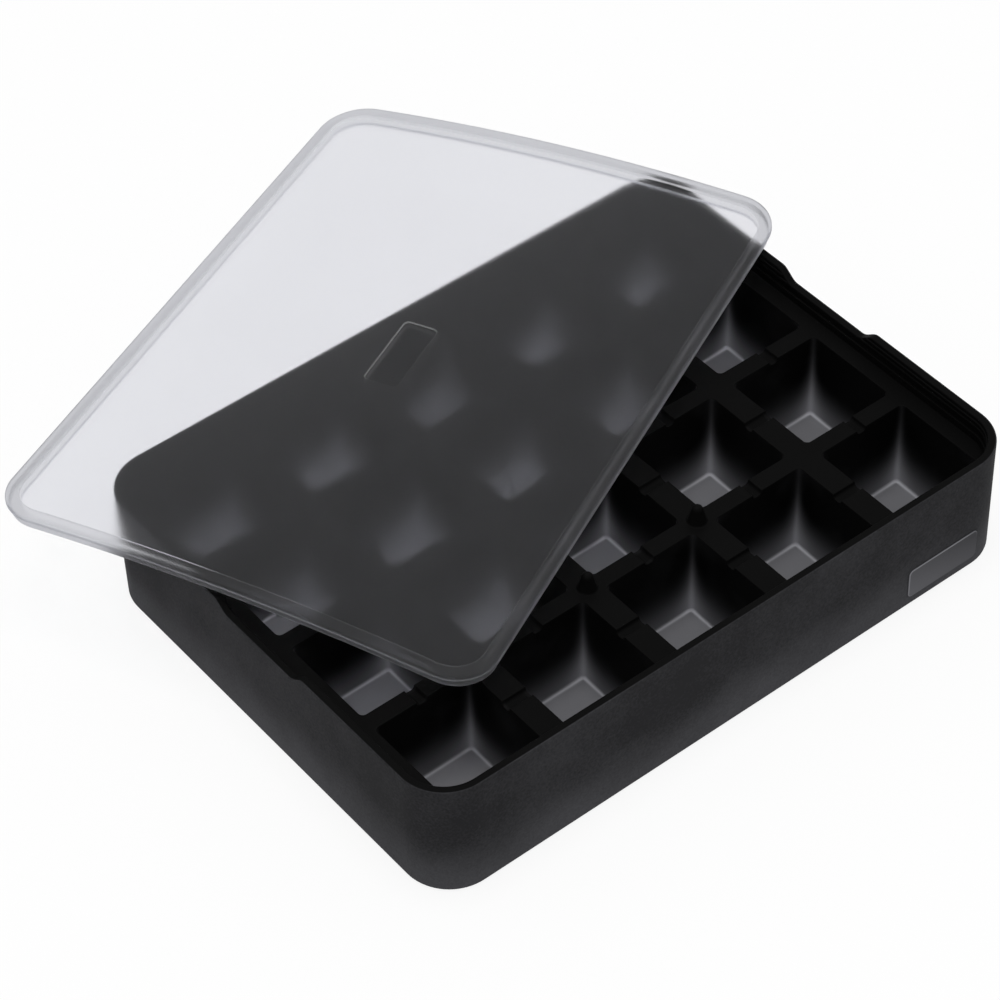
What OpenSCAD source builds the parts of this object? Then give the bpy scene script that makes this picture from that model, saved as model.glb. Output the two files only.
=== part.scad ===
// Silicone ice cube tray with square cells, and its soft lid lying askew across the rim.
// Millimetres. The origin is the middle of the tray's base, X runs along the long side, Z is up.

/* [Tray] */
// Length of the tray over its outer walls
tray_l = 197; // [196.5:0.5:220]
// Width of the tray over its outer walls
tray_w = 147.5; // [147:0.5:170]
// Height of the tray from its base to its rim
tray_h = 38.4; // [37:0.1:60]
// Radius of the four upright outer corners
corner_r = 14; // [11:0.5:18]
// Radius of the edge round the base
base_r = 1.2; // [0.4:0.1:2]

/* [Rim] */
// Thickness of the rim wall at the top
rim_t = 2.4; // [1.8:0.1:2.6]
// Depth of the deck below the top of the rim
deck_drop = 7.3; // [6.8:0.1:9]
// Width of the ledge part way down inside the rim
ledge_w = 0.5; // [0.3:0.1:0.8]
// Height of the ledge above the deck
ledge_h = 1.8; // [0.8:0.1:2.2]
// How far each sealing bead stands out of the rim's inner face
bead_out = 0.35; // [0.2:0.05:0.5]
// Height of one sealing bead
bead_h = 0.7; // [0.4:0.1:0.9]
// Depth of the upper bead's top below the rim
bead_drop = 1.1; // [0.8:0.1:1.4]
// Distance from one sealing bead to the next
bead_step = 1.6; // [1.2:0.1:1.8]
// Width of the fine groove round the edge of the deck
groove_w = 0.5; // [0.3:0.1:0.7]
// Depth of the fine groove round the edge of the deck
groove_d = 0.4; // [0.2:0.1:0.8]

/* [Finger notches] */
// Length of each notch's floor, in the middle of both short sides
notch_floor = 27; // [15:1:40]
// Length of the ramp at each end of a notch
notch_ramp = 6; // [2:0.5:10]
// Depth of each notch below the rim
notch_d = 3.2; // [1:0.1:4.5]

/* [Cells] */
// Number of cells along the tray
cells_x = 5; // [2:1:5]
// Number of cells across the tray
cells_y = 4; // [2:1:4]
// Distance between cell middles along the tray
pitch_x = 37.6; // [36:0.1:37.8]
// Distance between cell middles across the tray
pitch_y = 35.4; // [34:0.1:35.6]
// Width of each square cell at the deck
cell_w = 30; // [26:0.5:30.5]
// Depth of each cell below the deck
cell_d = 28.6; // [15:0.1:28.8]
// How far a cell's floor is narrower than its opening, on each side
floor_inset = 0.75; // [0.2:0.05:1.5]
// How far a cell's upright corners are cut back along each wall
cell_corner = 1; // [1:0.1:3]
// Size of the bevel round a cell's floor
floor_bevel = 1.2; // [0.5:0.1:1.6]

/* [Overflow channels] */
// Width of the channels that join neighbouring cells
channel_w = 3.4; // [2:0.1:5]
// Depth of the channels that join neighbouring cells
channel_d = 1.4; // [0.5:0.1:1.6]

/* [Underside] */
// Width of the slots moulded up into the base between the columns of cells
slot_w = 3; // [1.5:0.1:3.2]
// Length of each slot
slot_l = 24; // [10:1:25]
// Thickness left between a slot's top and the channel above it
slot_roof = 2; // [1.5:0.1:6]
// Thickness of the wall outside the slots at both ends of the tray
skirt_t = 2.6; // [2.2:0.1:2.8]

/* [Posts] */
// Radius of a lid post at the deck
post_r = 2.7; // [2:0.1:2.8]
// Radius of a lid post's round top
post_tip_r = 1.65; // [1:0.05:1.8]
// Height of a lid post above the deck
post_h = 5.6; // [4:0.1:5.8]

/* [Label pads] */
// Length of the bare label pads
pad_l = 25; // [15:0.5:30]
// Width of the bare label pads
pad_w = 10; // [6:0.5:12]
// Corner radius of the bare label pads
pad_r = 1.5; // [0.5:0.1:3]
// How far the pad on the front wall stands out
pad_out = 0.4; // [0.2:0.1:0.6]
// Distance from the front pad's middle to the right-hand end of the tray
pad_from_end = 25.6; // [24:0.1:40]
// Height of the front pad's middle above the base
pad_up = 8.8; // [7.5:0.1:16]
// Depth of the pad sunk into the lid
lid_pad_d = 0.4; // [0.2:0.1:0.6]

/* [Lid] */
// Distance from the tray's outer edge in to the edge of a closed lid
lid_inset = 1.6; // [1.2:0.1:1.8]
// Thickness of the lid's flange
flange_t = 1.6; // [1:0.1:2.4]
// Depth of the plug that fits inside the rim
plug_d = 3; // [2.4:0.1:3.6]
// Room between the plug and the inside of the rim
plug_gap = 0.2; // [0.1:0.05:0.4]
// Width of the thick border round the lid, from the flange's edge
border_w = 3.8; // [3:0.1:6]
// Depth of the hollow in the lid's top
lid_top_d = 1; // [0.4:0.1:1.4]
// Depth of the hollow under the lid
lid_under_d = 1.2; // [0.6:0.1:1.6]

/* [Lid at rest] */
// Where the lid's middle lies along the tray
lid_x = -8.4; // [-12:0.1:-2]
// Where the lid's middle lies across the tray
lid_y = 56.4; // [50:0.1:58]
// Turn of the lid on the tray, in degrees
lid_turn = 24.5; // [20:0.5:30]
// Tilt of the lid down towards the back, in degrees
lid_tilt = 1.5; // [0:0.1:2]
// How far the soft lid's long edges hang below the line along its middle
lid_sag = 4.1; // [0:0.1:5]
// How far one pair of opposite corners hangs, and the other pair rises, where the lid twists
lid_twist = 3.7; // [0:0.1:4]
// Room left between the lid and the rim that it lies on
seat_gap = 0.2; // [0.1:0.05:0.4]

/* [Hidden] */
$fn = 64;
tray_colour = [0.09, 0.09, 0.1];
lid_colour = [0.86, 0.86, 0.9, 0.55];
cut_over = 1;
deck_z = tray_h - deck_drop;
floor_z = deck_z - cell_d;
recess_l = tray_l - 2 * rim_t;
recess_w = tray_w - 2 * rim_t;
recess_r = corner_r - rim_t;
deck_l = recess_l - 2 * ledge_w;
deck_w = recess_w - 2 * ledge_w;
deck_r = recess_r - ledge_w;
ledge_z = deck_z + ledge_h;
notch_half = notch_floor / 2 + notch_ramp;
channel_r = (channel_w * channel_w / 4 + channel_d * channel_d) / (2 * channel_d);
channel_z = deck_z - channel_d + channel_r;
cell_columns = [for (i = [0 : cells_x - 1]) (i - (cells_x - 1) / 2) * pitch_x];
cell_rows = [for (j = [0 : cells_y - 1]) (j - (cells_y - 1) / 2) * pitch_y];
divider_columns = [for (i = [0 : cells_x - 2]) (i - (cells_x - 2) / 2) * pitch_x];
end_slot_x = tray_l / 2 - skirt_t - slot_w / 2;
slot_columns = [-end_slot_x, for (x = divider_columns) x, end_slot_x];
slot_z = deck_z - channel_d - slot_roof;
floor_half = cell_w / 2 - floor_inset;
foot_half = floor_half + floor_inset * floor_bevel / cell_d;
cell_section = [
    [-floor_half + floor_bevel, 0],
    [floor_half - floor_bevel, 0],
    [foot_half, floor_bevel],
    [cell_w / 2, cell_d],
    [cell_w / 2, cell_d + cut_over],
    [-cell_w / 2, cell_d + cut_over],
    [-cell_w / 2, cell_d],
    [-foot_half, floor_bevel]
];
corner_half = (cell_w - cell_corner) / sqrt(2);
corner_floor_half = (2 * floor_half - cell_corner) / sqrt(2);
corner_section = [
    [-corner_floor_half, 0],
    [corner_floor_half, 0],
    [corner_half, cell_d],
    [corner_half, cell_d + cut_over],
    [-corner_half, cell_d + cut_over],
    [-corner_half, cell_d]
];
flange_l = tray_l - 2 * lid_inset;
flange_w = tray_w - 2 * lid_inset;
flange_r = corner_r - lid_inset;
plug_in = rim_t + plug_gap - lid_inset;
lid_t = flange_t + plug_d;

// Shape of the lid: it sags as it hangs over the rim's back edge, and it twists a little.
function lid_drop(p) = lid_sag * pow(2 * p.y / flange_w, 2)
    + lid_twist * (2 * p.x / flange_l) * (2 * p.y / flange_w);

// Outline of the lid, some way in from the flange's edge, as points that always match one another.
arc_steps = 6;
long_steps = 10;
short_steps = 8;
function corner_middle(k, inset) = let (r = flange_r - inset)
    [(k == 0 || k == 3 ? 1 : -1) * (flange_l / 2 - inset - r),
     (k < 2 ? 1 : -1) * (flange_w / 2 - inset - r)];
function corner_point(k, turn, inset) =
    corner_middle(k, inset) + (flange_r - inset) * [cos(turn), sin(turn)];
function lid_outline(inset) = [
    for (k = [0 : 3]) each [
        for (a = [0 : arc_steps]) corner_point(k, 90 * (k + a / arc_steps), inset),
        let (steps = k % 2 == 0 ? long_steps : short_steps,
            from = corner_point(k, 90 * (k + 1), inset),
            to = corner_point((k + 1) % 4, 90 * (k + 1), inset))
        each [for (s = [1 : steps - 1]) from + (to - from) * s / steps]
    ]
];

// The lid's section as rings, from the middle of its underside round the edge to the middle of its top.
// Each ring holds its share of the way out, its distance in from the flange's edge and its height.
plate_top_z = lid_t - lid_top_d;
plate_shares = [0.25, 0.5, 0.75, 1];
lid_rings = [
    for (s = plate_shares) [s, border_w, lid_under_d],
    [1, border_w, 0],
    [1, plug_in, 0],
    [1, plug_in, plug_d],
    [1, 0, plug_d],
    [1, 0, lid_t],
    [1, border_w, lid_t],
    for (k = [len(plate_shares) - 1 : -1 : 0]) [plate_shares[k], border_w, plate_top_z]
];
function ring_points(ring) = [
    for (p = lid_outline(ring[1])) let (q = ring[0] * p) [q.x, q.y, ring[2] - lid_drop(q)]
];
lid_points = [
    [0, 0, lid_under_d],
    for (ring = lid_rings) each ring_points(ring),
    [0, 0, plate_top_z]
];
ring_size = len(lid_outline(0));
last_ring = (len(lid_rings) - 1) * ring_size;
lid_faces = [
    for (i = [0 : ring_size - 1]) let (next = (i + 1) % ring_size) each [
        [0, 1 + i, 1 + next],
        for (base = [1 : ring_size : last_ring]) each [
            [base + i, base + ring_size + i, base + ring_size + next],
            [base + i, base + ring_size + next, base + next]
        ],
        [len(lid_points) - 1, last_ring + 1 + next, last_ring + 1 + i]
    ]
];

// The lid settles until its underside meets the rim. The rim's top is sampled round its middle line,
// except over the notches, and the highest sample against the lid's underside gives the resting height.
rim_l = tray_l - rim_t;
rim_w = tray_w - rim_t;
rim_r = corner_r - rim_t / 2;
rim_samples = 60;
rim_side_x = [for (k = [0 : rim_samples]) (k / rim_samples - 0.5) * (rim_l - 2 * rim_r)];
rim_side_y = [for (k = [0 : rim_samples]) (k / rim_samples - 0.5) * (rim_w - 2 * rim_r)];
rim_arc = [for (a = [0 : 5 : 90]) rim_r * [cos(a), sin(a)]];
rim_points = [
    for (x = rim_side_x, s = [-1, 1]) [x, s * rim_w / 2],
    for (y = rim_side_y, s = [-1, 1]) if (abs(y) > notch_half) [s * rim_l / 2, y],
    for (p = rim_arc, sx = [-1, 1], sy = [-1, 1])
        [sx * (rim_l / 2 - rim_r + p.x), sy * (rim_w / 2 - rim_r + p.y)]
];
function on_lid(p) = let (dx = p.x - lid_x, dy = p.y - lid_y)
    [dx * cos(lid_turn) + dy * sin(lid_turn), dy * cos(lid_turn) - dx * sin(lid_turn)];
function within(q, inset) = abs(q.x) < flange_l / 2 - inset && abs(q.y) < flange_w / 2 - inset;
function underside(q) = within(q, border_w + rim_t / 2) ? lid_under_d
    : within(q, plug_in - rim_t / 2) ? 0 : plug_d;
function seat_height(q) = within(q, -rim_t / 2)
    ? tray_h + q.y * tan(lid_tilt) + lid_drop(q) - underside(q) : 0;
lid_z = max([for (p = rim_points) seat_height(on_lid(p))]) + seat_gap;

module rounded_rect(l, w, r) {
    square([l - 2 * r, w], center = true);
    square([l, w - 2 * r], center = true);
    for (sx = [-1, 1], sy = [-1, 1])
        translate([sx * (l / 2 - r), sy * (w / 2 - r)])
            circle(r = r);
}

module slab(l, w, r, z, t) {
    translate([0, 0, z])
        linear_extrude(height = t)
            rounded_rect(l, w, r);
}

// Outer block of the tray, with a rounded edge round its base.
module block() {
    slab(tray_l, tray_w, corner_r, base_r, tray_h - base_r);
    slab(tray_l - 2 * base_r, tray_w - 2 * base_r, corner_r - base_r, 0, 2 * base_r);
    for (sx = [-1, 1], sy = [-1, 1])
        translate([sx * (tray_l / 2 - corner_r), sy * (tray_w / 2 - corner_r), base_r])
            rotate_extrude()
                translate([corner_r - base_r, 0])
                    circle(r = base_r);
    for (s = [-1, 1]) {
        translate([0, s * (tray_w / 2 - base_r), base_r])
            rotate([0, 90, 0])
                cylinder(r = base_r, h = tray_l - 2 * corner_r, center = true);
        translate([s * (tray_l / 2 - base_r), 0, base_r])
            rotate([90, 0, 0])
                cylinder(r = base_r, h = tray_w - 2 * corner_r, center = true);
    }
}

// Space inside the rim, above the deck, with the ledge and both sealing beads left standing.
module rim_space() {
    slab(deck_l, deck_w, deck_r, deck_z, deck_drop + cut_over);
    difference() {
        slab(recess_l, recess_w, recess_r, ledge_z, tray_h - ledge_z + cut_over);
        for (k = [0, 1])
            sealing_bead(tray_h - bead_drop - bead_h - k * bead_step);
    }
}

module sealing_bead(z) {
    difference() {
        slab(recess_l + 2 * cut_over, recess_w + 2 * cut_over, recess_r + cut_over, z, bead_h);
        slab(recess_l - 2 * bead_out, recess_w - 2 * bead_out, recess_r - bead_out,
            z - cut_over, bead_h + 2 * cut_over);
    }
}

module deck_groove() {
    difference() {
        slab(deck_l, deck_w, deck_r, deck_z - groove_d, groove_d + cut_over);
        slab(deck_l - 2 * groove_w, deck_w - 2 * groove_w, deck_r - groove_w,
            deck_z - groove_d - cut_over, groove_d + 3 * cut_over);
    }
}

// One cell, standing on its floor, is what four crossed troughs share. Two have leaning sides and
// bevelled feet, and the two that run slantwise cut back the upright corners.
module trough(section, turn) {
    rotate([90, 0, turn])
        linear_extrude(height = 2 * cell_w, center = true)
            polygon(section);
}

module cell() {
    intersection() {
        trough(cell_section, 0);
        trough(cell_section, 90);
        trough(corner_section, 45);
        trough(corner_section, -45);
    }
}

module cells() {
    for (x = cell_columns, y = cell_rows)
        translate([x, y, floor_z])
            cell();
}

// Each channel runs from the first cell's middle to the last one's, so it only cuts the dividers.
module channels() {
    for (y = cell_rows)
        translate([0, y, channel_z])
            rotate([0, 90, 0])
                cylinder(r = channel_r, h = (cells_x - 1) * pitch_x, center = true);
    for (x = cell_columns)
        translate([x, 0, channel_z])
            rotate([90, 0, 0])
                cylinder(r = channel_r, h = (cells_y - 1) * pitch_y, center = true);
}

module underside_slots() {
    for (x = slot_columns, y = cell_rows)
        translate([x - slot_w / 2, y - slot_l / 2, -cut_over])
            cube([slot_w, slot_l, slot_z + cut_over]);
}

module notches() {
    rotate([90, 0, 90])
        linear_extrude(height = tray_l + 2 * cut_over, center = true)
            polygon([
                [-notch_floor / 2, tray_h - notch_d],
                [notch_floor / 2, tray_h - notch_d],
                [notch_half, tray_h],
                [notch_half, tray_h + cut_over],
                [-notch_half, tray_h + cut_over],
                [-notch_half, tray_h]
            ]);
}

module post() {
    cone_h = post_h - post_tip_r;
    cylinder(r1 = post_r, r2 = post_tip_r, h = cone_h);
    translate([0, 0, cone_h])
        sphere(r = post_tip_r);
}

module posts() {
    for (sx = [-1, 1], sy = [-1, 1])
        translate([sx * pitch_x / 2, sy * pitch_y, deck_z])
            post();
}

module front_pad() {
    translate([tray_l / 2 - pad_from_end, -tray_w / 2, pad_up])
        rotate([90, 0, 0])
            translate([0, 0, -rim_t / 2])
                linear_extrude(height = rim_t / 2 + pad_out)
                    rounded_rect(pad_l, pad_w, pad_r);
}

module tray() color(tray_colour) {
    difference() {
        block();
        rim_space();
        deck_groove();
        cells();
        channels();
        underside_slots();
        notches();
    }
    posts();
    front_pad();
}

// The lid's pad is sunk into its middle, where the lid is nearly flat.
module lid() color(lid_colour) {
    translate([lid_x, lid_y, lid_z])
        rotate([-lid_tilt, 0, lid_turn])
            difference() {
                polyhedron(points = lid_points, faces = lid_faces);
                slab(pad_l, pad_w, pad_r, plate_top_z - lid_pad_d, lid_pad_d + cut_over);
            }
}

tray();
lid();
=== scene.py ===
# Looks of a charcoal silicone ice cube tray and of the translucent silicone lid that lies askew on it.
import math

import bpy
from mathutils import Matrix, Vector


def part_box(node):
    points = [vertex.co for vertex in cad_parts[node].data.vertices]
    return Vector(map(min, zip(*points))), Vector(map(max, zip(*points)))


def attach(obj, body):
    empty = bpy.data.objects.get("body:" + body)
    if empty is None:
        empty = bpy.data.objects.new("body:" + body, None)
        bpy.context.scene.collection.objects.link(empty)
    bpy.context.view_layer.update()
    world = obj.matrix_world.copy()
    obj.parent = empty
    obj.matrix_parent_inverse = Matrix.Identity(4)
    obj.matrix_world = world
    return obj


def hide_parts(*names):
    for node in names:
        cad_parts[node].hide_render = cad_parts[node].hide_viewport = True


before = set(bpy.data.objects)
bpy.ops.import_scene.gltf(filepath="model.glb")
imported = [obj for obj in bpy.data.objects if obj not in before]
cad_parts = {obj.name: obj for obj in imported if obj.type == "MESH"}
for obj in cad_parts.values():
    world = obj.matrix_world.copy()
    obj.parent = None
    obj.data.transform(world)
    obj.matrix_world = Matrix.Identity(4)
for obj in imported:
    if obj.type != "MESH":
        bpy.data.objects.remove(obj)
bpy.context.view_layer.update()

# Sizes are written in millimetres and used in metres.
MM = 0.001

# Tray
TRAY_L, TRAY_W, TRAY_H = 197 * MM, 147.5 * MM, 38.4 * MM
CORNER_R, CORNER_STEPS = 14 * MM, 18
BASE_R = 1.2 * MM
RIM_T = 2.4 * MM
RIM_EDGE = 0.35 * MM
DECK_Z = 31.1 * MM
LEDGE_W, LEDGE_H, LEDGE_EDGE = 0.5 * MM, 1.8 * MM, 0.15 * MM
GROOVE_W, GROOVE_D = 0.5 * MM, 0.4 * MM
BEAD_OUT, BEAD_H, BEAD_DROP, BEAD_STEP = 0.35 * MM, 0.7 * MM, 1.1 * MM, 1.6 * MM
BEAD_ROOT, BEAD_ROUND = 0.8 * MM, 0.45 * BEAD_H
NOTCH_FLAT, NOTCH_RAMP, NOTCH_D, NOTCH_STEPS = 27 * MM, 6 * MM, 3.2 * MM, 8
CELLS_X, CELLS_Y = 5, 4
PITCH_X, PITCH_Y = 37.6 * MM, 35.4 * MM
CELL_W, CELL_D, FLOOR_INSET = 30 * MM, 28.6 * MM, 0.75 * MM
CELL_R, FLOOR_R, LIP_R = 1.5 * MM, 1.35 * MM, 0.25 * MM
# Where a rounded corner is farthest from both walls of a cell
CORNER_LINE_IN = CELL_R * (1 - math.sqrt(0.5))
CHANNEL_W, CHANNEL_D, CHANNEL_R, SHOULDER_R = 3.1 * MM, 1.4 * MM, 1.1 * MM, 0.3 * MM
SLOT_W, SLOT_L, SLOT_TOP, SLOT_R = 3 * MM, 24 * MM, 27.7 * MM, 0.8 * MM
SKIRT_T = 2.6 * MM
POST_R, POST_TIP_R, POST_H = 2.7 * MM, 1.65 * MM, 5.6 * MM
POST_FOOT_R, POST_ROOT, POST_SIDES = POST_R + 0.4 * MM, 0.5 * MM, 32
PAD_L, PAD_W, PAD_R, PAD_OUT, PAD_EDGE = 25 * MM, 10 * MM, 1.5 * MM, 0.4 * MM, 0.15 * MM
PAD_X, PAD_Z = TRAY_L / 2 - 25.6 * MM, 8.8 * MM
RECESS_L, RECESS_W, RECESS_R = TRAY_L - 2 * RIM_T, TRAY_W - 2 * RIM_T, CORNER_R - RIM_T
FLOOR_Z = DECK_Z - CELL_D

# Lid
FLANGE_L, FLANGE_W, FLANGE_T = 193.8 * MM, 144.3 * MM, 1.6 * MM
FLANGE_R, FLANGE_STEPS = 12.55 * MM, 16
PLUG_D, PLUG_IN = 3 * MM, 1 * MM
BORDER_W, LID_TOP_D, LID_UNDER_D = 3.8 * MM, 1 * MM, 1.2 * MM
LID_EDGE, LID_STEP_EDGE = 0.5 * MM, 0.3 * MM
LID_PAD_D, LID_PAD_LIP = 0.4 * MM, 0.28 * MM
LID_T = FLANGE_T + PLUG_D
LID_SAG, LID_TWIST = 4.1 * MM, 3.7 * MM
LID_X, LID_Y = -8.4 * MM, 56.4 * MM
LID_TURN, LID_TILT = math.radians(24.5), math.radians(1.5)
LID_BEND_STEP = 8 * MM

# How far a cutter reaches past the face that it cuts
PAST = 1 * MM
# How far a flared lip ends above the face that it rounds
LIFT = 0.01 * MM
# Faces that meet at less than this angle, in degrees, are shaded as one
SMOOTH_ANGLE = 35


def deselect():
    bpy.ops.object.select_all(action="DESELECT")


def take(obj):
    """Makes obj the one selected object."""
    deselect()
    obj.select_set(True)
    bpy.context.view_layer.objects.active = obj


def edit(obj):
    take(obj)
    bpy.ops.object.mode_set(mode="EDIT")
    bpy.ops.mesh.select_all(action="DESELECT")


def done():
    bpy.ops.object.mode_set(mode="OBJECT")


def pick(obj, kind, test):
    """Selects, in edit mode, the VERT, EDGE or FACE elements whose places pass the test."""
    bpy.ops.mesh.select_all(action="DESELECT")
    bpy.ops.mesh.select_mode(type=kind)
    bpy.ops.object.mode_set(mode="OBJECT")
    mesh = obj.data
    if kind == "VERT":
        for v in mesh.vertices:
            v.select = test(v.co)
    elif kind == "EDGE":
        for e in mesh.edges:
            e.select = test(*(mesh.vertices[i].co for i in e.vertices))
    else:
        for p in mesh.polygons:
            p.select = test(p.center, p.normal)
    bpy.ops.object.mode_set(mode="EDIT")


def is_close(a, b, slack=0.02 * MM):
    return abs(a - b) < slack


def block(name, size, middle):
    """A cube at its real size and place, ready to be shaped."""
    deselect()
    bpy.ops.mesh.primitive_cube_add(size=1, location=middle)
    obj = bpy.context.object
    obj.name = name
    obj.scale = size
    bpy.ops.object.transform_apply(location=True, rotation=True, scale=True)
    return obj


def bevel(radius, segments):
    bpy.ops.mesh.bevel(offset=radius, segments=segments, affect="EDGES")


def round_uprights(obj, radius, segments, lean=0):
    """Rounds the upright edges of a block, which may lean by some way from top to bottom."""
    pick(obj, "EDGE", lambda a, b: (a - b).xy.length < 2 * lean + 0.01 * MM and abs(a.z - b.z) > 0.1 * MM)
    bevel(radius, segments)


def extrude(z):
    """Draws the selected faces up, or down where z is negative."""
    bpy.ops.mesh.extrude_region_move(TRANSFORM_OT_translate={"value": (0, 0, z)})


def inset(width):
    bpy.ops.mesh.inset(thickness=width)


def pick_top(obj, z):
    pick(obj, "FACE", lambda c, n: n.z > 0.9 and is_close(c.z, z))


def pick_bottom(obj, z):
    pick(obj, "FACE", lambda c, n: n.z < -0.9 and is_close(c.z, z))


def inset_of(p, length, width, radius):
    """How far a point lies in from a rounded rectangle's outline, seen from above."""
    dx = abs(p.x) - (length / 2 - radius)
    dy = abs(p.y) - (width / 2 - radius)
    if dx > 0 and dy > 0:
        return radius - math.hypot(dx, dy)
    return radius - max(dx, dy)


def round_loop(obj, outline, z, inward, radius, segments):
    """Rounds the level edge loop at height z, some way in from an outline of length, width and radius."""
    def on_loop(p):
        return is_close(p.z, z) and is_close(inset_of(p, *outline), inward, 0.05 * MM)
    pick(obj, "EDGE", lambda a, b: on_loop(a) and on_loop(b))
    bevel(radius, segments)


def flare(obj, z, radius, width, depth=None, steps=4):
    """Widens a cutter's top face in a quarter round, so that what it cuts gets a rounded lip.
    width and depth are the top's size along X and Y, and an axis without one keeps its size."""
    pick_top(obj, z)
    out = 0
    for k in range(1, steps + 1):
        turn, before = (math.pi / 2 * s / steps for s in (k, k - 1))
        extrude(radius * (math.sin(turn) - math.sin(before)))
        wider = radius * (1 - math.cos(turn))
        ratios = [(size + 2 * wider) / (size + 2 * out) if size else 1 for size in (width, depth)]
        bpy.ops.transform.resize(value=(ratios[0], ratios[1], 1))
        out = wider
    extrude(PAST)


def copies(obj, places):
    """Moves obj to the first place, adds a copy with its own mesh at each other, and joins them."""
    made = []
    for place in places[1:]:
        take(obj)
        bpy.ops.object.duplicate()
        made.append((bpy.context.object, place))
    made.append((obj, places[0]))
    for one, place in made:
        take(one)
        one.location = place
        bpy.ops.object.transform_apply(location=True, rotation=False, scale=False)
    for one, _ in made:
        one.select_set(True)
    bpy.context.view_layer.objects.active = obj
    if len(made) > 1:
        bpy.ops.object.join()
    return obj


def combine(obj, tool, operation):
    """Cuts the tool out of obj, or welds it on, and removes the tool."""
    take(obj)
    bpy.ops.object.modifier_add(type="BOOLEAN")
    modifier = obj.modifiers[-1]
    modifier.operation = operation
    modifier.solver = "EXACT"
    modifier.object = tool
    bpy.ops.object.modifier_apply(modifier=modifier.name)
    take(tool)
    bpy.ops.object.delete()


def cut(obj, tool):
    combine(obj, tool, "DIFFERENCE")


def weld(obj, tool):
    combine(obj, tool, "UNION")


def smooth(obj):
    """Merges what the cuts left double, then shades round faces smooth and keeps flat ones flat."""
    edit(obj)
    bpy.ops.mesh.select_all(action="SELECT")
    bpy.ops.mesh.remove_doubles(threshold=0.002 * MM)
    bpy.ops.mesh.normals_make_consistent(inside=False)
    done()
    take(obj)
    bpy.ops.object.shade_smooth_by_angle(angle=math.radians(SMOOTH_ANGLE))
    bpy.ops.object.modifier_add(type="WEIGHTED_NORMAL")
    obj.modifiers[-1].keep_sharp = True
    bpy.ops.object.modifier_apply(modifier=obj.modifiers[-1].name)


def notch_depth(p):
    """Depth of the finger notch below the rim at a point: flat in the middle, with S-shaped ramps."""
    if abs(p.x) < RECESS_L / 2 - MM:
        return 0
    t = min(max((abs(p.y) - NOTCH_FLAT / 2) / NOTCH_RAMP, 0), 1)
    return NOTCH_D * (1 - t * t * (3 - 2 * t))


def shape_notches(obj):
    """Cuts the rim of both short sides into strips and lowers their tops."""
    half = NOTCH_FLAT / 2
    stations = [half + NOTCH_RAMP * k / NOTCH_STEPS for k in range(NOTCH_STEPS + 1)]
    for y in [-s for s in reversed(stations)] + stations:
        pick(obj, "FACE", lambda c, n: abs(c.x) > RECESS_L / 2 - MM and abs(c.y) < 3 * half)
        bpy.ops.mesh.bisect(plane_co=(0, y, 0), plane_no=(0, 1, 0))
    for side in (-1, 1):
        for y in stations:
            pick(obj, "VERT", lambda p: is_close(p.z, TRAY_H) and is_close(p.y, side * y)
                 and abs(p.x) > RECESS_L / 2 - MM)
            bpy.ops.transform.translate(value=(0, 0, -notch_depth(Vector((TRAY_L, y, 0)))))


def round_rim(obj):
    """Rounds the outer and inner edges of the rim's top, notches included."""
    def on_top(p):
        return is_close(p.z, TRAY_H - notch_depth(p))

    def same_loop(a, b):
        outline = (TRAY_L, TRAY_W, CORNER_R)
        return is_close(inset_of(a, *outline), inset_of(b, *outline), MM)
    pick(obj, "EDGE", lambda a, b: on_top(a) and on_top(b) and same_loop(a, b))
    bevel(RIM_EDGE, 3)


def rim_and_deck():
    """The tray's outer block, with its rim, ledge, groove and deck, but no cells yet."""
    outline = (TRAY_L, TRAY_W, CORNER_R)
    obj = block("tray_moulding", (TRAY_L, TRAY_W, TRAY_H), (0, 0, TRAY_H / 2))
    edit(obj)
    round_uprights(obj, CORNER_R, CORNER_STEPS)
    pick_top(obj, TRAY_H)
    inset(RIM_T)
    extrude(DECK_Z + LEDGE_H - TRAY_H)
    inset(LEDGE_W)
    extrude(-LEDGE_H - GROOVE_D)
    inset(GROOVE_W)
    extrude(GROOVE_D)
    shape_notches(obj)
    round_rim(obj)
    round_loop(obj, outline, DECK_Z + LEDGE_H, RIM_T + LEDGE_W, LEDGE_EDGE, 2)
    round_loop(obj, outline, DECK_Z, RIM_T + LEDGE_W + GROOVE_W, LEDGE_EDGE, 2)
    round_loop(obj, outline, 0, 0, BASE_R, 4)
    done()
    return obj


def sealing_bead(z):
    """A ring with a round inner edge, half buried in the rim, that stops at the finger notches."""
    size = (RECESS_L + 2 * BEAD_ROOT, RECESS_W + 2 * BEAD_ROOT)
    outline = (*size, RECESS_R + BEAD_ROOT)
    obj = block("sealing_bead", (*size, BEAD_H), (0, 0, z + BEAD_H / 2))
    edit(obj)
    round_uprights(obj, RECESS_R + BEAD_ROOT, CORNER_STEPS)
    pick(obj, "FACE", lambda c, n: abs(n.z) > 0.9)
    inset(BEAD_ROOT + BEAD_OUT)
    bpy.ops.mesh.bridge_edge_loops()
    for level in (z, z + BEAD_H):
        round_loop(obj, outline, level, BEAD_ROOT + BEAD_OUT, BEAD_ROUND, 3)
    done()
    tries = (s * 0.1 * MM for s in range(1000))
    half = next(y for y in tries if notch_depth(Vector((TRAY_L, y, 0))) < TRAY_H - z - BEAD_H)
    cut(obj, block("bead_gap", (TRAY_L + PAST, 2 * half, 2 * BEAD_H), (0, 0, z + BEAD_H / 2)))
    return obj


def spread(count, pitch):
    return [(i - (count - 1) / 2) * pitch for i in range(count)]


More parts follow.
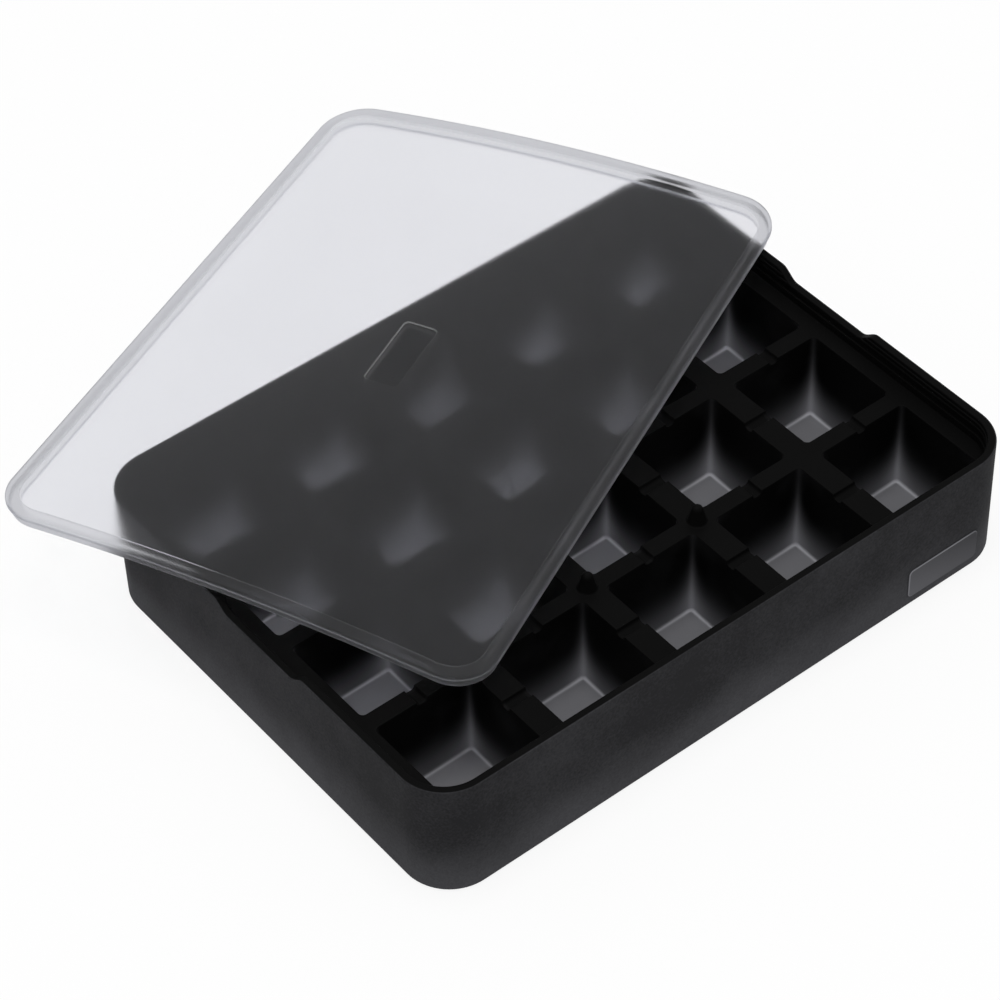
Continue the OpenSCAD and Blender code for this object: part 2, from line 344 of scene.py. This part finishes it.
def cell_cutters():
    """The space inside every cell: a leaning box with round corners, round floor and a flared lip."""
    obj = block("cell_space", (CELL_W, CELL_W, CELL_D), (0, 0, DECK_Z - CELL_D / 2))
    edit(obj)
    pick_bottom(obj, FLOOR_Z)
    ratio = 1 - 2 * FLOOR_INSET / CELL_W
    bpy.ops.transform.resize(value=(ratio, ratio, 1))
    pick_top(obj, DECK_Z)
    bpy.ops.transform.translate(value=(0, 0, LIFT - LIP_R))
    round_uprights(obj, CELL_R, 5, lean=FLOOR_INSET)
    pick(obj, "EDGE", lambda a, b: is_close(a.z, FLOOR_Z) and is_close(b.z, FLOOR_Z))
    bevel(FLOOR_R, 5)
    flare(obj, DECK_Z + LIFT - LIP_R, LIP_R, CELL_W, CELL_W)
    done()
    return copies(obj, [(x, y, 0) for x in spread(CELLS_X, PITCH_X) for y in spread(CELLS_Y, PITCH_Y)])


def channel_cutters(across):
    """The overflow channels that join the cells of each row, or of each column where across is true."""
    length = (CELLS_Y - 1) * PITCH_Y if across else (CELLS_X - 1) * PITCH_X
    low, high = DECK_Z - CHANNEL_D, DECK_Z - SHOULDER_R + LIFT
    size = (CHANNEL_W, length, high - low) if across else (length, CHANNEL_W, high - low)
    obj = block("channel_space", size, (0, 0, (low + high) / 2))
    edit(obj)
    along = (lambda a, b: abs(a.y - b.y)) if across else (lambda a, b: abs(a.x - b.x))
    pick(obj, "EDGE", lambda a, b: is_close(a.z, low) and is_close(b.z, low) and along(a, b) > PAST)
    bevel(CHANNEL_R, 5)
    if across:
        flare(obj, high, SHOULDER_R, CHANNEL_W, None, 3)
        done()
        return copies(obj, [(x, 0, 0) for x in spread(CELLS_X, PITCH_X)])
    flare(obj, high, SHOULDER_R, None, CHANNEL_W, 3)
    done()
    return copies(obj, [(0, y, 0) for y in spread(CELLS_Y, PITCH_Y)])


def slot_cutters():
    """The slots moulded up into the base, between the columns of cells and at both ends."""
    obj = block("slot_space", (SLOT_W, SLOT_L, SLOT_TOP + PAST), (0, 0, (SLOT_TOP - PAST) / 2))
    edit(obj)
    round_uprights(obj, SLOT_R, 3)
    done()
    end = TRAY_L / 2 - SKIRT_T - SLOT_W / 2
    columns = [-end] + spread(CELLS_X - 1, PITCH_X) + [end]
    return copies(obj, [(x, y, 0) for x in columns for y in spread(CELLS_Y, PITCH_Y)])


def lid_posts():
    """The four tapered posts with round tops that keep the lid's middle up."""
    deselect()
    radius, height = POST_FOOT_R, DECK_Z - POST_ROOT
    bpy.ops.mesh.primitive_circle_add(vertices=POST_SIDES, radius=radius, fill_type="NGON",
                                      location=(0, 0, height))
    obj = bpy.context.object
    obj.name = "lid_post"
    bpy.ops.object.transform_apply(location=True, rotation=False, scale=False)
    edit(obj)
    bpy.ops.mesh.select_all(action="SELECT")
    bpy.ops.mesh.normals_make_consistent(inside=False)
    shoulder = DECK_Z + POST_H - POST_TIP_R
    profile = [(POST_FOOT_R, DECK_Z), (POST_R + 0.1 * MM, DECK_Z + 0.15 * MM),
               (POST_R - 0.1 * MM, DECK_Z + 0.5 * MM), (POST_TIP_R, shoulder)]
    profile += [(POST_TIP_R * math.cos(t), shoulder + POST_TIP_R * math.sin(t))
                for t in (math.radians(a) for a in (18, 36, 54, 70, 82))]
    for wide, high in profile:
        extrude(high - height)
        bpy.ops.transform.resize(value=(wide / radius, wide / radius, 1))
        radius, height = wide, high
    bpy.ops.mesh.select_all(action="SELECT")
    bpy.ops.mesh.normals_make_consistent(inside=False)
    done()
    return copies(obj, [(sx * PITCH_X / 2, sy * PITCH_Y, 0) for sx in (-1, 1) for sy in (-1, 1)])


def front_pad():
    """The bare label pad that stands a little out of the front wall."""
    root = RIM_T / 2
    middle = (PAD_X, -TRAY_W / 2 + (root - PAD_OUT) / 2, PAD_Z)
    obj = block("front_pad", (PAD_L, root + PAD_OUT, PAD_W), middle)
    edit(obj)
    pick(obj, "EDGE", lambda a, b: abs(a.y - b.y) > root / 2)
    bevel(PAD_R, 6)
    face = -TRAY_W / 2 - PAD_OUT
    pick(obj, "EDGE", lambda a, b: is_close(a.y, face) and is_close(b.y, face))
    bevel(PAD_EDGE, 2)
    done()
    return obj


def tray_moulding():
    obj = rim_and_deck()
    for k in (0, 1):
        weld(obj, sealing_bead(TRAY_H - BEAD_DROP - BEAD_H - k * BEAD_STEP))
    cut(obj, cell_cutters())
    cut(obj, channel_cutters(False))
    cut(obj, channel_cutters(True))
    cut(obj, slot_cutters())
    weld(obj, lid_posts())
    weld(obj, front_pad())
    smooth(obj)
    return obj


def flat_lid():
    """The lid before it sags: a flange, a plug that fits the rim, and a hollow on both faces."""
    outline = (FLANGE_L, FLANGE_W, FLANGE_R)
    obj = block("lid_moulding", (FLANGE_L, FLANGE_W, FLANGE_T), (0, 0, PLUG_D + FLANGE_T / 2))
    edit(obj)
    round_uprights(obj, FLANGE_R, FLANGE_STEPS)
    pick_bottom(obj, PLUG_D)
    inset(PLUG_IN)
    extrude(-PLUG_D)
    inset(BORDER_W - PLUG_IN)
    extrude(LID_UNDER_D)
    pick_top(obj, LID_T)
    inset(BORDER_W)
    extrude(-LID_TOP_D)
    for z, inward, radius in ((LID_T, 0, LID_EDGE), (PLUG_D, 0, LID_EDGE), (0, PLUG_IN, LID_EDGE),
                              (0, BORDER_W, LID_STEP_EDGE), (LID_T, BORDER_W, LID_STEP_EDGE),
                              (LID_T - LID_TOP_D, BORDER_W, LID_STEP_EDGE),
                              (LID_UNDER_D, BORDER_W, LID_STEP_EDGE)):
        round_loop(obj, outline, z, inward, radius, 3)
    done()
    return obj


def lid_pad_cutter():
    """The space over the bare label pad sunk into the middle of the lid."""
    face = LID_T - LID_TOP_D
    low, high = face - LID_PAD_D, face - LID_PAD_LIP + LIFT
    obj = block("lid_pad_space", (PAD_L, PAD_W, high - low), (0, 0, (low + high) / 2))
    edit(obj)
    round_uprights(obj, PAD_R, 6)
    flare(obj, high, LID_PAD_LIP, PAD_L, PAD_W, 3)
    done()
    return obj


def lid_moulding():
    obj = flat_lid()
    cut(obj, lid_pad_cutter())
    edit(obj)
    for axis, size in ((Vector((1, 0, 0)), FLANGE_L), (Vector((0, 1, 0)), FLANGE_W)):
        count = int(size / LID_BEND_STEP)
        for k in range(1, count):
            bpy.ops.mesh.select_all(action="SELECT")
            bpy.ops.mesh.bisect(plane_co=axis * size * (k / count - 0.5), plane_no=axis)
    done()
    for v in obj.data.vertices:
        across, along = 2 * v.co.y / FLANGE_W, 2 * v.co.x / FLANGE_L
        v.co.z -= LID_SAG * across ** 2 + LID_TWIST * along * across
    take(obj)
    obj.rotation_euler = (-LID_TILT, 0, LID_TURN)
    obj.location = (LID_X, LID_Y, 0)
    bpy.ops.object.transform_apply(location=True, rotation=True, scale=True)
    lowest = min(v.co.z for v in obj.data.vertices)
    obj.location.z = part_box("lid")[0].z - lowest
    bpy.ops.object.transform_apply(location=True, rotation=True, scale=True)
    smooth(obj)
    return obj


class Wire:
    """An output of a shader node. Sums written with wires add Math nodes to their tree."""

    def __init__(self, tree, socket):
        self.tree = tree
        self.socket = socket

    def add(self, kind, settings=None, inputs=None, output=0):
        """Adds a node of any kind, sets it up, feeds its inputs and gives a wire from one output."""
        node = self.tree.nodes.new(kind)
        for name, value in (settings or {}).items():
            setattr(node, name, value)
        for name, value in (inputs or {}).items():
            if isinstance(value, Wire):
                self.tree.links.new(value.socket, node.inputs[name])
            else:
                node.inputs[name].default_value = value
        return Wire(self.tree, node.outputs[output])

    def math(self, operation, *others, clamp=False):
        return self.add("ShaderNodeMath", {"operation": operation, "use_clamp": clamp},
                        dict(enumerate((self, *others))))

    def __add__(self, other):
        return self.math("ADD", other)

    __radd__ = __add__

    def __mul__(self, other):
        return self.math("MULTIPLY", other)

    __rmul__ = __mul__

    def __sub__(self, other):
        return self.math("SUBTRACT", other)

    def __rsub__(self, other):
        return self.math("MULTIPLY_ADD", -1, other)

    def __truediv__(self, other):
        return self.math("DIVIDE", other)

    def __abs__(self):
        return self.math("ABSOLUTE")

    def __pow__(self, other):
        return self.math("POWER", other)

    def least(self, other):
        return self.math("MINIMUM", other)

    def most(self, other):
        return self.math("MAXIMUM", other)

    def below(self, level, soft):
        """1 where the value is under the level, 0 over it, with a soft step between."""
        return self.step(level + soft / 2, level - soft / 2)

    def above(self, level, soft):
        return self.step(level - soft / 2, level + soft / 2)

    def step(self, start, end):
        return self.add("ShaderNodeMapRange", {"interpolation_type": "SMOOTHSTEP"},
                        {"Value": self, "From Min": start, "From Max": end})

    def fade(self, reach):
        """Falls from 1 at zero towards 0, by a factor e over each reach."""
        return (self / -reach).math("EXPONENT")

    def bell(self, reach):
        """Falls from 1 at zero towards 0 in a bell curve, by a factor e at the reach."""
        share = self / reach
        return (share * share).fade(1)

    def xyz(self):
        split = self.add("ShaderNodeSeparateXYZ", None, {0: self})
        return [Wire(self.tree, out) for out in split.socket.node.outputs]

    def noise(self, scale, detail=2.0, roughness=0.5):
        return self.add("ShaderNodeTexNoise", None, {"Vector": self, "Scale": scale, "Detail": detail,
                                                     "Roughness": roughness}, "Fac")

    def mix(self, low, high):
        """Blends two colours by this value."""
        return self.add("ShaderNodeMix", {"data_type": "RGBA", "clamp_factor": True},
                        {"Factor": self, 6: low, 7: high}, 2)


def new_material(name):
    """An empty node material: its shader, and a wire with the object's own coordinates."""
    material = bpy.data.materials.new(name)
    material.use_nodes = True
    tree = material.node_tree
    place = Wire(tree, tree.nodes.new("ShaderNodeTexCoord").outputs["Object"])
    return material, tree.nodes["Principled BSDF"], place


def feed(shader, name, wire):
    wire.tree.links.new(wire.socket, shader.inputs[name])


def wire_inset(x, y, length, width, radius):
    """How far a shaded point lies in from a rounded rectangle's outline, up to its corner radius."""
    dx = (abs(x) - (length / 2 - radius)).most(0)
    dy = (abs(y) - (width / 2 - radius)).most(0)
    return radius - (dx * dx + dy * dy) ** 0.5


def grey(value, blue=1.0):
    return (value, value, value * blue, 1)


# Colours, in linear light
DECK_BLACK = grey(0.0024)
WALL_CHARCOAL = grey(0.018, 1.08)
# Painted sheen on the outer walls
SHEEN_GREY = grey(0.07, 1.08)
# Painted light in the cells, at its full strength
PAINTED_LIGHT_GREY = grey(0.5, 1.07)
# The front pad's painted lit side, painted shaded side and painted highlight on its outline
PAD_PAINTED_LIT = grey(0.112, 1.08)
PAD_PAINTED_SHADE = grey(0.052, 1.08)
PAD_PAINTED_HIGHLIGHT = grey(0.2, 1.08)
LID_MILK = (0.79, 0.795, 0.83, 1)
LID_BORDER = (0.54, 0.545, 0.575, 1)

# The painted light in a cell, from 0 for the deck's black to 1 for the full painted glow. It fades up
# each corner as a flame whose width shrinks with height, and lower down over the whole wall.
FLAME_H, FLAME_LEFT = 11.5 * MM, 0.024
FLAME_W, FLAME_FOOT_W = 0.8 * MM, 1.6 * MM
PAINTED_WALL_LIGHT_H, PAINTED_WALL_LIGHT, PAINTED_WALL_LIGHT_EVEN, PAINTED_WALL_LIGHT_REACH = 7 * MM, 0.65, 0.45, 5 * MM
PAINTED_FLOOR_LIGHT, PAINTED_FOOT_HIGHLIGHT, FOOT_W, MOTTLE = 0.3, 0.4, 0.5 * MM, 0.05
# Weights of the painted sheen outside: large clouds, patches, fine grain, and more of it near the base
CLOUD, PATCH, GRAIN, BASE_SHEEN = 0.8, 0.25, 0.5, 0.72


def tray_silicone():
    """Charcoal silicone: a painted blotchy sheen outside, black on the deck, and painted light at the
    cells' floors and up their corners.
    """
    material, shader, place = new_material("tray_silicone")
    x, y, z = place.xyz()
    inward = wire_inset(x, y, TRAY_L, TRAY_W, CORNER_R)

    # A point's place in its own cell, counted in from the cell's leaning walls and up from its floor.
    height = (z - FLOOR_Z).most(0)
    half = CELL_W / 2 - FLOOR_INSET + height * (FLOOR_INSET / CELL_D)
    from_x = half - abs(x.math("WRAP", PITCH_X / 2, -PITCH_X / 2))
    from_y = half - abs((y - PITCH_Y / 2).math("WRAP", PITCH_Y / 2, -PITCH_Y / 2))
    from_wall = from_x.least(from_y)
    from_corner = (from_x.most(from_y) - CORNER_LINE_IN).most(0)
    in_cells = (z.above(FLOOR_Z - 0.4 * MM, 0.2 * MM) * z.below(DECK_Z - 0.2 * MM, 0.3 * MM)
                * inward.above(RIM_T + 2.5 * MM, 0.2 * MM) * from_wall.above(-0.9 * MM, 0.2 * MM))

    # Painted light: the silicone is painted lit at the floor and, like a flame, up each corner, and over
    # the lower walls.
    mottle = place.noise(60, 3.0)
    flame = height.bell(FLAME_H)
    spread_out = from_corner / (FLAME_W + FLAME_FOOT_W * flame)
    painted_corner_highlight = (flame + FLAME_LEFT) * spread_out.fade(1)
    beside_corner = PAINTED_WALL_LIGHT_EVEN + (1 - PAINTED_WALL_LIGHT_EVEN) * from_corner.fade(PAINTED_WALL_LIGHT_REACH)
    painted_wall_light = PAINTED_WALL_LIGHT * height.bell(PAINTED_WALL_LIGHT_H) * beside_corner
    painted_light = painted_corner_highlight + painted_wall_light - painted_corner_highlight * painted_wall_light
    # Painted highlight along the crease where the floor meets the walls
    crease = (height - from_wall.most(0)).bell(FOOT_W)
    painted_foot_highlight = crease * height.below(2 * MM, 1.5 * MM) * PAINTED_FOOT_HIGHLIGHT
    on_floor = height.below(0.4 * MM, 0.6 * MM)
    cell_painted_light = painted_light * (1 - on_floor) + PAINTED_FLOOR_LIGHT * on_floor + painted_foot_highlight + (mottle - 0.5) * MOTTLE
    cell_painted_colour = cell_painted_light.mix(DECK_BLACK, PAINTED_LIGHT_GREY)

    # Painted sheen on the outer walls: lighter in clouds and patches, with fine grain, and more towards
    # the base.
    cloud = place.noise(24, 4.0, 0.6)
    patch = place.noise(90, 3.0, 0.6)
    grain = place.noise(1500, 2.0)
    painted_sheen = ((cloud - 0.38) * CLOUD + (patch - 0.5) * PATCH + (grain - 0.5) * GRAIN
             + z.below(10 * MM, 24 * MM) * BASE_SHEEN)
    pad_x, pad_z = x - PAD_X, z - PAD_Z
    in_pad = wire_inset(pad_x, pad_z, PAD_L, PAD_W, PAD_R)
    on_pad = in_pad.above(-0.1 * MM, 0.2 * MM) * (y + TRAY_W / 2).below(-PAD_OUT / 2, 0.2 * MM)
    # Painted light and shade: the pad is lighter towards its bottom and -X end and darker towards its top
    # and +X end, with a painted highlight along the top and -X side of its outline.
    pad_painted_shading = 0.5 + pad_x / (1.6 * PAD_L) + pad_z / (1.6 * PAD_W)
    pad_outline_highlight = in_pad.below(0.3 * MM, 0.2 * MM) * (pad_z / PAD_W - pad_x / PAD_L).above(0, 0.6)
    pad_colour = pad_outline_highlight.mix(pad_painted_shading.mix(PAD_PAINTED_LIT, PAD_PAINTED_SHADE), PAD_PAINTED_HIGHLIGHT)
    wall_colour = on_pad.mix(painted_sheen.mix(WALL_CHARCOAL, SHEEN_GREY), pad_colour)
    on_top = inward.above(0.35 * MM, 0.3 * MM) * z.above(FLOOR_Z, 1 * MM)
    outside = on_top.mix(wall_colour, DECK_BLACK)
    feed(shader, "Base Color", in_cells.mix(outside, cell_painted_colour))
    feed(shader, "Roughness", 0.62 - 0.1 * in_cells - 0.08 * on_top + (cloud - 0.5) * 0.2)
    bump = place.add("ShaderNodeBump", None, {"Strength": 0.12, "Distance": 0.1 * MM,
                                              "Height": grain + place.noise(500, 2.0)})
    feed(shader, "Normal", bump)
    shader.inputs["Specular IOR Level"].default_value = 0.02
    return material


def lid_silicone():
    """Milky translucent silicone with a satin face."""
    material, shader, place = new_material("lid_silicone")
    local = place.add("ShaderNodeMapping", {"vector_type": "TEXTURE"},
                      {"Vector": place, "Location": (LID_X, LID_Y, 0), "Rotation": (0, 0, LID_TURN)})
    x, y, z = local.xyz()
    border = wire_inset(x, y, FLANGE_L, FLANGE_W, FLANGE_R).below(BORDER_W, 0.4 * MM)
    haze = place.noise(25, 3.0)
    in_pad = wire_inset(x, y, PAD_L, PAD_W, PAD_R)
    on_pad = in_pad.above(0, 0.2 * MM)
    pad_outline_highlight = in_pad.above(-0.3 * MM, 0.2 * MM) * in_pad.below(0.1 * MM, 0.2 * MM)
    lit_half = (x / PAD_L + y / PAD_W).above(0, 0.5)
    tone = border * 0.8 + on_pad * 0.25 + (haze - 0.5) * 0.2
    feed(shader, "Base Color", tone.mix(LID_MILK, LID_BORDER))
    feed(shader, "Roughness", 0.42 + 0.16 * border + (haze - 0.5) * 0.06)
    # Painted highlight: the pad's outline glows, more on its lit half, and the border glows faintly.
    feed(shader, "Emission Color", pad_outline_highlight * (0.02 + 0.045 * lit_half) + 0.008 * border)
    shader.inputs["Emission Strength"].default_value = 1
    shader.inputs["Transmission Weight"].default_value = 0.99
    shader.inputs["IOR"].default_value = 1.16
    return material


# Share of plain white in the floor where it is seen
FLOOR_WHITE = 0.88


def floor_paint():
    """Pale floor that shows white to the camera, in gloss and through the lid, and keeps a shadow."""
    material, shader, place = new_material("studio_floor")
    shader.inputs["Base Color"].default_value = grey(0.8)
    shader.inputs["Roughness"].default_value = 0.9
    shader.inputs["Specular IOR Level"].default_value = 0.1
    seen = is_seen(place)
    white = place.add("ShaderNodeEmission", None, {"Color": grey(1), "Strength": 1.0})
    painted = Wire(place.tree, shader.outputs[0])
    mixed = place.add("ShaderNodeMixShader", None, {0: seen * FLOOR_WHITE, 1: painted, 2: white})
    feed(place.tree.nodes["Material Output"], "Surface", mixed)
    return material


def is_seen(wire):
    """1 on rays from the camera, from a glossy face or through the lid."""
    path = wire.add("ShaderNodeLightPath")
    outputs = path.socket.node.outputs
    camera, glossy, through = (Wire(wire.tree, outputs[n]) for n in
                               ("Is Camera Ray", "Is Glossy Ray", "Is Transmission Ray"))
    return camera.most(glossy).most(through)


# Strength of the room's white light on the objects; the camera sees it at 1
AMBIENT = 0.75


def studio_world():
    world = bpy.data.worlds.new("studio")
    world.use_nodes = True
    bpy.context.scene.world = world
    background = world.node_tree.nodes["Background"]
    start = Wire(world.node_tree, background.outputs[0])
    background.inputs["Color"].default_value = grey(1)
    feed(background, "Strength", is_seen(start) * (1 - AMBIENT) + AMBIENT)


def softbox(name, place, aim, size, power):
    """A round lamp at a place, turned to a point, with its size in metres and its power in watts."""
    deselect()
    bpy.ops.object.light_add(type="AREA", location=place)
    lamp = bpy.context.object
    lamp.name = name
    lamp.data.shape = "DISK"
    lamp.data.size = size
    lamp.data.energy = power
    lamp.rotation_euler = (Vector(aim) - Vector(place)).to_track_quat("-Z", "Y").to_euler()


# The photograph's camera, solved from the tray's cells and rim: angles in degrees, place in
# millimetres, and the lens's length in widths of the square picture
CAMERA_AZIMUTH, CAMERA_ELEVATION, CAMERA_ROLL = -37.17, 45.6, -2.22
CAMERA_PLACE = (-407.4, -511.9, 692.4)
CAMERA_LENS, SENSOR_MM = 3.4826, 36


def photo_camera():
    azimuth, elevation, roll = (math.radians(a) for a in (CAMERA_AZIMUTH, CAMERA_ELEVATION, CAMERA_ROLL))
    deselect()
    bpy.ops.object.camera_add()
    camera = bpy.context.object
    camera.name = "photo_camera"
    turn = (Matrix.Rotation(azimuth, 4, "Z") @ Matrix.Rotation(math.pi / 2 - elevation, 4, "X")
            @ Matrix.Rotation(roll, 4, "Z"))
    camera.matrix_world = Matrix.Translation(Vector(CAMERA_PLACE) * MM) @ turn
    camera.data.sensor_width = SENSOR_MM
    camera.data.lens = CAMERA_LENS * SENSOR_MM
    camera.data.clip_start = 0.01
    bpy.context.scene.camera = camera


def dress(obj, material, node):
    obj.data.materials.clear()
    obj.data.materials.append(material)
    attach(obj, "root")
    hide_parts(node)


photo_camera()
dress(tray_moulding(), tray_silicone(), "tray")
dress(lid_moulding(), lid_silicone(), "lid")

# The floor lies a little under the tray, so that their faces don't meet. Its size is in metres.
deselect()
bpy.ops.mesh.primitive_plane_add(size=6, location=(0, 0, -0.05 * MM))
studio_floor = bpy.context.object
studio_floor.name = "studio_floor"
studio_floor.data.materials.append(floor_paint())

studio_world()
softbox("overhead_softbox", place=(-0.05, -0.05, 1.3), aim=(0, 0, 0), size=0.5, power=8)
bpy.context.scene.view_settings.view_transform = "Standard"
